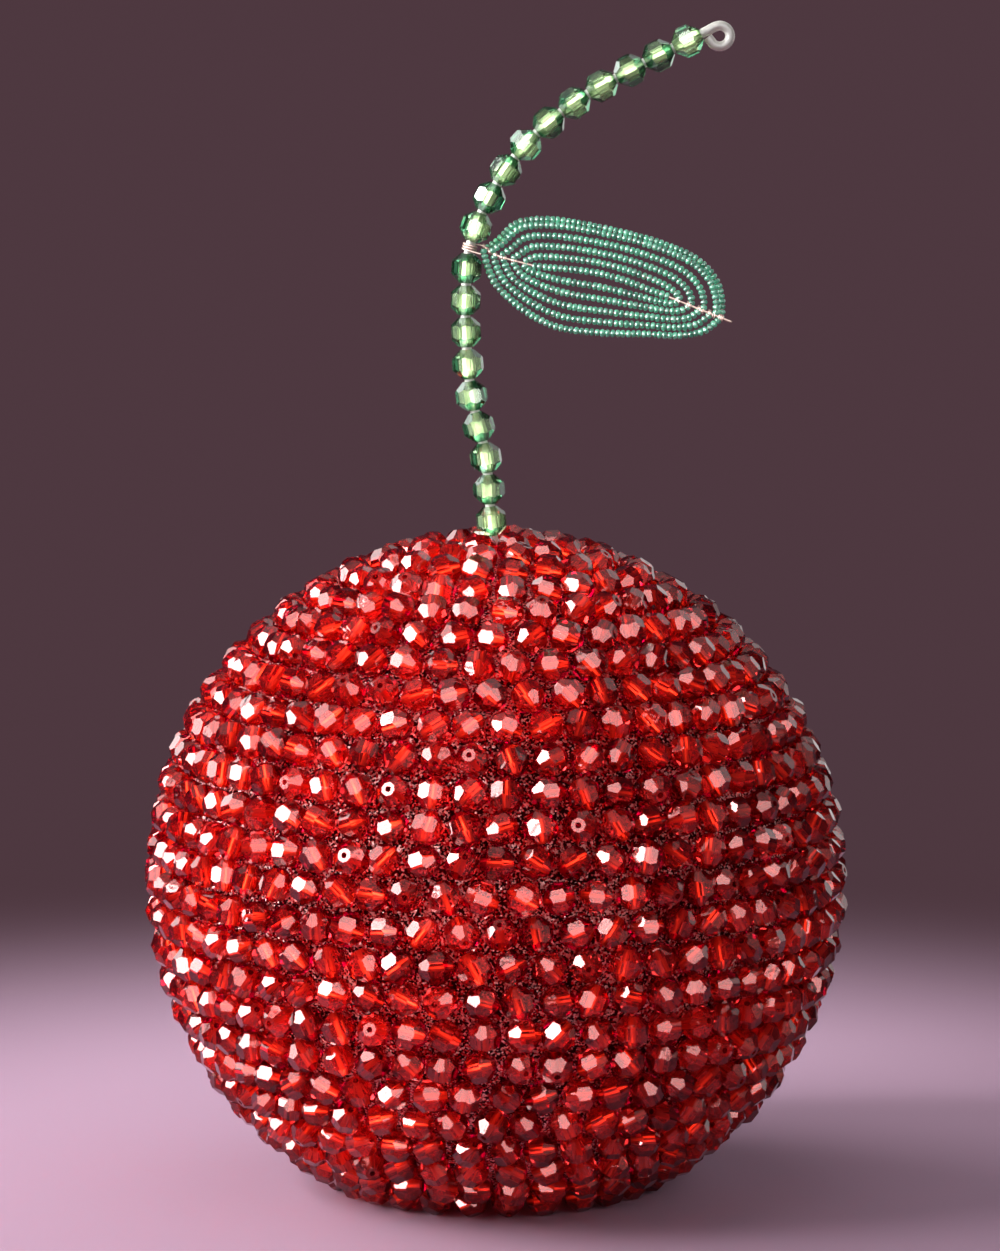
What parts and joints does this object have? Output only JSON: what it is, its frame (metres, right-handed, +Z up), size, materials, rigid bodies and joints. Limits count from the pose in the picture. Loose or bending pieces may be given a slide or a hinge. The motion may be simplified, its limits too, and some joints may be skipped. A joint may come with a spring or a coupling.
{
  "type": "beaded cherry ornament",
  "caption": "Beaded cherry: a flat-based ball covered in rows of faceted red beads, with a bent stem of green beads that ends in a wire eye, and a leaf of strung seed beads.",
  "frame": {"origin": "centre of the flat base", "axes": "+Z up through the middle of the ball; the stem hooks and the leaf points towards +X; the pictured side faces -Y"},
  "size_m": [0.139, 0.139, 0.2294],
  "materials": {
    "foam": "matte",
    "glitter": "satin",
    "red_acrylic": "gloss",
    "green_acrylic": "gloss",
    "stem_coating": "satin",
    "leaf_metal": "satin",
    "seed_glass": "gloss"
  },
  "bodies": {
    "ball": {"foam_core": "foam", "glitter_coat": "glitter", "bead_row_01": "red_acrylic", "bead_row_02": "red_acrylic", "bead_row_03": "red_acrylic", "bead_row_04": "red_acrylic", "bead_row_05": "red_acrylic", "bead_row_06": "red_acrylic", "bead_row_07": "red_acrylic", "bead_row_08": "red_acrylic", "bead_row_09": "red_acrylic", "bead_row_10": "red_acrylic", "bead_row_11": "red_acrylic", "bead_row_12": "red_acrylic", "bead_row_13": "red_acrylic", "bead_row_14": "red_acrylic", "bead_row_15": "red_acrylic", "bead_row_16": "red_acrylic", "bead_row_17": "red_acrylic", "bead_row_18": "red_acrylic", "bead_row_19": "red_acrylic", "bead_row_20": "red_acrylic", "bead_row_21": "red_acrylic", "bead_row_22": "red_acrylic", "bead_row_23": "red_acrylic", "bead_row_24": "red_acrylic", "bead_row_25": "red_acrylic", "stem_wire": "stem_coating"},
    "stem_bead_01": {"stem_bead_01": "green_acrylic"},
    "stem_bead_02": {"stem_bead_02": "green_acrylic"},
    "stem_bead_03": {"stem_bead_03": "green_acrylic"},
    "stem_bead_04": {"stem_bead_04": "green_acrylic"},
    "stem_bead_05": {"stem_bead_05": "green_acrylic"},
    "stem_bead_06": {"stem_bead_06": "green_acrylic"},
    "stem_bead_07": {"stem_bead_07": "green_acrylic"},
    "stem_bead_08": {"stem_bead_08": "green_acrylic"},
    "stem_bead_09": {"stem_bead_09": "green_acrylic"},
    "stem_bead_10": {"stem_bead_10": "green_acrylic"},
    "stem_bead_11": {"stem_bead_11": "green_acrylic"},
    "stem_bead_12": {"stem_bead_12": "green_acrylic"},
    "stem_bead_13": {"stem_bead_13": "green_acrylic"},
    "stem_bead_14": {"stem_bead_14": "green_acrylic"},
    "stem_bead_15": {"stem_bead_15": "green_acrylic"},
    "stem_bead_16": {"stem_bead_16": "green_acrylic"},
    "stem_bead_17": {"stem_bead_17": "green_acrylic"},
    "stem_bead_18": {"stem_bead_18": "green_acrylic"},
    "stem_bead_19": {"stem_bead_19": "green_acrylic"},
    "leaf": {"leaf_wire": "leaf_metal", "leaf_tip_wire": "leaf_metal", "leaf_centre_row": "seed_glass", "leaf_upper_row_01": "seed_glass", "leaf_upper_row_02": "seed_glass", "leaf_upper_row_03": "seed_glass", "leaf_upper_row_04": "seed_glass", "leaf_upper_row_05": "seed_glass", "leaf_lower_row_01": "seed_glass", "leaf_lower_row_02": "seed_glass", "leaf_lower_row_03": "seed_glass", "leaf_lower_row_04": "seed_glass", "leaf_lower_row_05": "seed_glass"}
  },
  "joints": [
    {"name": "stem_bead_01_spin", "type": "hinge", "parent": "ball", "child": "stem_bead_01", "pos_m": [0.03718, 0, 0.22554], "axis": [0.8938, 0, 0.4484], "continuous": true},
    {"name": "stem_bead_02_spin", "type": "hinge", "parent": "ball", "child": "stem_bead_02", "pos_m": [0.03159, 0, 0.22274], "axis": [0.8924, 0, 0.4512], "continuous": true},
    {"name": "stem_bead_03_spin", "type": "hinge", "parent": "ball", "child": "stem_bead_03", "pos_m": [0.02605, 0, 0.21985], "axis": [0.8783, 0, 0.478], "continuous": true},
    {"name": "stem_bead_04_spin", "type": "hinge", "parent": "ball", "child": "stem_bead_04", "pos_m": [0.02056, 0, 0.21685], "axis": [0.8718, 0, 0.4898], "continuous": true},
    {"name": "stem_bead_05_spin", "type": "hinge", "parent": "ball", "child": "stem_bead_05", "pos_m": [0.01526, 0, 0.21355], "axis": [0.8162, 0, 0.5778], "continuous": true},
    {"name": "stem_bead_06_spin", "type": "hinge", "parent": "ball", "child": "stem_bead_06", "pos_m": [0.01029, 0, 0.20977], "axis": [0.7684, 0, 0.6399], "continuous": true},
    {"name": "stem_bead_07_spin", "type": "hinge", "parent": "ball", "child": "stem_bead_07", "pos_m": [0.00575, 0, 0.20547], "axis": [0.6718, 0, 0.7407], "continuous": true},
    {"name": "stem_bead_08_spin", "type": "hinge", "parent": "ball", "child": "stem_bead_08", "pos_m": [0.00191, 0, 0.20055], "axis": [0.5631, 0, 0.8264], "continuous": true},
    {"name": "stem_bead_09_spin", "type": "hinge", "parent": "ball", "child": "stem_bead_09", "pos_m": [-0.00131, 0, 0.1952], "axis": [0.4682, 0, 0.8836], "continuous": true},
    {"name": "stem_bead_10_spin", "type": "hinge", "parent": "ball", "child": "stem_bead_10", "pos_m": [-0.0039, 0, 0.18951], "axis": [0.3497, 0, 0.9369], "continuous": true},
    {"name": "stem_bead_11_spin", "type": "hinge", "parent": "ball", "child": "stem_bead_11", "pos_m": [-0.00569, 0, 0.1815], "axis": [0.0725, 0, 0.9974], "continuous": true},
    {"name": "stem_bead_12_spin", "type": "hinge", "parent": "ball", "child": "stem_bead_12", "pos_m": [-0.00595, 0, 0.17526], "axis": [0.0314, 0, 0.9995], "continuous": true},
    {"name": "stem_bead_13_spin", "type": "hinge", "parent": "ball", "child": "stem_bead_13", "pos_m": [-0.00588, 0, 0.16901], "axis": [-0.0448, 0, 0.999], "continuous": true},
    {"name": "stem_bead_14_spin", "type": "hinge", "parent": "ball", "child": "stem_bead_14", "pos_m": [-0.00549, 0, 0.16277], "axis": [-0.0823, 0, 0.9966], "continuous": true},
    {"name": "stem_bead_15_spin", "type": "hinge", "parent": "ball", "child": "stem_bead_15", "pos_m": [-0.00478, 0, 0.15657], "axis": [-0.1589, 0, 0.9873], "continuous": true},
    {"name": "stem_bead_16_spin", "type": "hinge", "parent": "ball", "child": "stem_bead_16", "pos_m": [-0.00338, 0, 0.15048], "axis": [-0.2554, 0, 0.9668], "continuous": true},
    {"name": "stem_bead_17_spin", "type": "hinge", "parent": "ball", "child": "stem_bead_17", "pos_m": [-0.002, 0, 0.14439], "axis": [-0.1538, 0, 0.9881], "continuous": true},
    {"name": "stem_bead_18_spin", "type": "hinge", "parent": "ball", "child": "stem_bead_18", "pos_m": [-0.00137, 0, 0.13817], "axis": [-0.0673, 0, 0.9977], "continuous": true},
    {"name": "stem_bead_19_spin", "type": "hinge", "parent": "ball", "child": "stem_bead_19", "pos_m": [-0.00092, 0, 0.13192], "axis": [-0.1007, 0, 0.9949], "continuous": true},
    {"name": "leaf_swivel", "type": "hinge", "parent": "ball", "child": "leaf", "pos_m": [-0.00511, 0, 0.18558], "axis": [0.2301, 0, 0.9732], "continuous": true}
  ]
}
